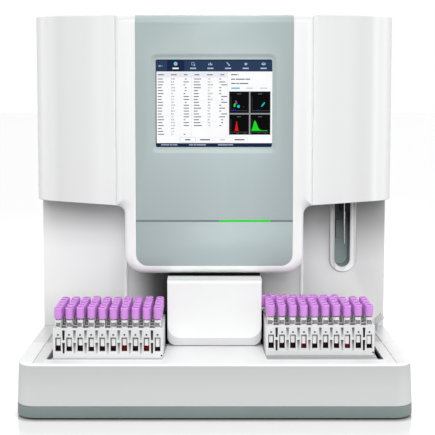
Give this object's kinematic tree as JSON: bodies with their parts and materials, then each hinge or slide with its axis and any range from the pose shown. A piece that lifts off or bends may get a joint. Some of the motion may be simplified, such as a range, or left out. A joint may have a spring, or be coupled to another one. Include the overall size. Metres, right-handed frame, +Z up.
{
  "type": "hematology analyzer",
  "caption": "Bench-top blood cell analyzer with a touch display, swept front doors, a probe bay and two bays of tube racks in front.",
  "frame": {"origin": "on the bench, under the middle of the analyzer's box", "axes": "+X to the right as seen from the front, +Y to the back, +Z up"},
  "size_m": [0.764, 0.755, 0.781],
  "materials": {
    "shell_white": "satin moulded plastic",
    "sheet_white": "fine-texture powder coat",
    "panel_grey": "satin grey-green moulding",
    "plinth_grey": "satin dark grey-green moulding",
    "rubber_black": "matte",
    "tray_plastic": "satin",
    "dark_plastic": "matte",
    "rack_white": "satin",
    "cap_lavender": "satin ribbed",
    "tube_glass": "clear",
    "label_white": "matte paper",
    "blood_red": "liquid",
    "light_green": "lit diffuser",
    "screen_glass": "lit display behind glass",
    "probe_steel": "polished",
    "sheet_steel": "zinc-plated sheet",
    "liner_grey": "satin",
    "clear_plastic": "clear",
    "module_grey": "matte",
    "board_green": "solder mask"
  },
  "bodies": {
    "root": {"base_plinth": "plinth_grey", "foot_front_left": "rubber_black", "foot_front_right": "rubber_black", "foot_rear_left": "rubber_black", "foot_rear_right": "rubber_black", "loader_housing": "shell_white", "lane_track": "dark_plastic", "clear_guard": "clear_plastic", "left_tray_floor": "tray_plastic", "right_tray_floor": "tray_plastic", "left_door_hinge": "shell_white", "right_door_hinge": "shell_white", "left_side_panel": "sheet_white", "right_side_panel": "sheet_white", "left_lower_panel": "shell_white", "right_lower_panel": "shell_white", "inner_bulkhead": "sheet_steel", "tunnel_back_wall": "tray_plastic", "chassis_deck": "sheet_steel", "mid_shelf": "sheet_steel", "top_cover": "sheet_white", "console_frame": "shell_white", "upper_front_panel": "panel_grey", "lower_front_panel": "panel_grey", "status_light_bar": "light_green", "display_module": "panel_grey", "screen_glass": "screen_glass", "probe_bay_bezel": "shell_white", "probe_bay_liner": "liner_grey", "probe_rail": "sheet_steel", "probe_wash_block": "module_grey", "syringe_bank": "module_grey", "valve_manifold": "module_grey", "dye_holder": "tray_plastic", "optical_module": "module_grey", "control_board": "board_green", "power_supply": "sheet_steel", "rear_panel": "sheet_white", "fan_frame": "dark_plastic", "power_inlet": "dark_plastic", "fluid_connectors": "tray_plastic"},
    "left_door": {"left_front_door": "shell_white"},
    "right_door": {"right_front_door": "shell_white"},
    "cover": {"sampler_cover": "shell_white"},
    "probe": {"sample_probe": "probe_steel"},
    "key": {"aspirate_key": "module_grey"},
    "left_pusher": {"left_rack_pusher": "dark_plastic"},
    "right_pusher": {"right_rack_pusher": "dark_plastic"},
    "moving_rack": {"lane_rack": "rack_white"},
    "rocker": {"power_switch": "dark_plastic"},
    "rotor": {"fan_rotor": "dark_plastic"},
    "left_rack_1_body": {"left_rack_1": "rack_white"},
    "left_rack_2_body": {"left_rack_2": "rack_white"},
    "left_rack_3_body": {"left_rack_3": "rack_white"},
    "left_rack_4_body": {"left_rack_4": "rack_white"},
    "left_rack_5_body": {"left_rack_5": "rack_white"},
    "right_rack_1_body": {"right_rack_1": "rack_white"},
    "right_rack_2_body": {"right_rack_2": "rack_white"},
    "right_rack_3_body": {"right_rack_3": "rack_white"},
    "right_rack_4_body": {"right_rack_4": "rack_white"}
  },
  "joints": [
    {"name": "left_door_swing", "type": "hinge", "parent": "root", "child": "left_door", "pos_m": [-0.373, -0.1205, 0.589], "axis": [0, 0, -1], "range_deg": [0, 95]},
    {"name": "right_door_swing", "type": "hinge", "parent": "root", "child": "right_door", "pos_m": [0.373, -0.1205, 0.589], "axis": [0, 0, 1], "range_deg": [0, 95]},
    {"name": "cover_pull", "type": "slide", "parent": "root", "child": "cover", "axis": [0, -1, 0], "range_m": [0, 0.08]},
    {"name": "probe_lift", "type": "slide", "parent": "root", "child": "probe", "axis": [0, 0, 1], "range_m": [0, 0.06]},
    {"name": "key_press", "type": "slide", "parent": "root", "child": "key", "axis": [0, 1, 0], "range_m": [0, 0.0025], "stiffness_N_per_m": 400},
    {"name": "left_pusher_run", "type": "slide", "parent": "root", "child": "left_pusher", "axis": [0, 1, 0], "range_m": [0, 0.115]},
    {"name": "right_pusher_run", "type": "slide", "parent": "root", "child": "right_pusher", "axis": [0, 1, 0], "range_m": [0, 0.115]},
    {"name": "lane_run", "type": "slide", "parent": "root", "child": "moving_rack", "axis": [1, 0, 0], "range_m": [-0.359, 0.055]},
    {"name": "power_rock", "type": "hinge", "parent": "root", "child": "rocker", "pos_m": [-0.28, 0.3715, 0.209], "axis": [1, 0, 0], "range_deg": [-8, 8]},
    {"name": "fan_spin", "type": "hinge", "parent": "root", "child": "rotor", "pos_m": [0.2, 0.361, 0.564], "axis": [0, 1, 0], "continuous": true},
    {"name": "left_rack_1_lift", "type": "slide", "parent": "root", "child": "left_rack_1_body", "axis": [0, 0, 1], "range_m": [0, 0.09]},
    {"name": "left_rack_2_lift", "type": "slide", "parent": "root", "child": "left_rack_2_body", "axis": [0, 0, 1], "range_m": [0, 0.09]},
    {"name": "left_rack_3_lift", "type": "slide", "parent": "root", "child": "left_rack_3_body", "axis": [0, 0, 1], "range_m": [0, 0.09]},
    {"name": "left_rack_4_lift", "type": "slide", "parent": "root", "child": "left_rack_4_body", "axis": [0, 0, 1], "range_m": [0, 0.09]},
    {"name": "left_rack_5_lift", "type": "slide", "parent": "root", "child": "left_rack_5_body", "axis": [0, 0, 1], "range_m": [0, 0.09]},
    {"name": "right_rack_1_lift", "type": "slide", "parent": "root", "child": "right_rack_1_body", "axis": [0, 0, 1], "range_m": [0, 0.09]},
    {"name": "right_rack_2_lift", "type": "slide", "parent": "root", "child": "right_rack_2_body", "axis": [0, 0, 1], "range_m": [0, 0.09]},
    {"name": "right_rack_3_lift", "type": "slide", "parent": "root", "child": "right_rack_3_body", "axis": [0, 0, 1], "range_m": [0, 0.09]},
    {"name": "right_rack_4_lift", "type": "slide", "parent": "root", "child": "right_rack_4_body", "axis": [0, 0, 1], "range_m": [0, 0.09]}
  ]
}
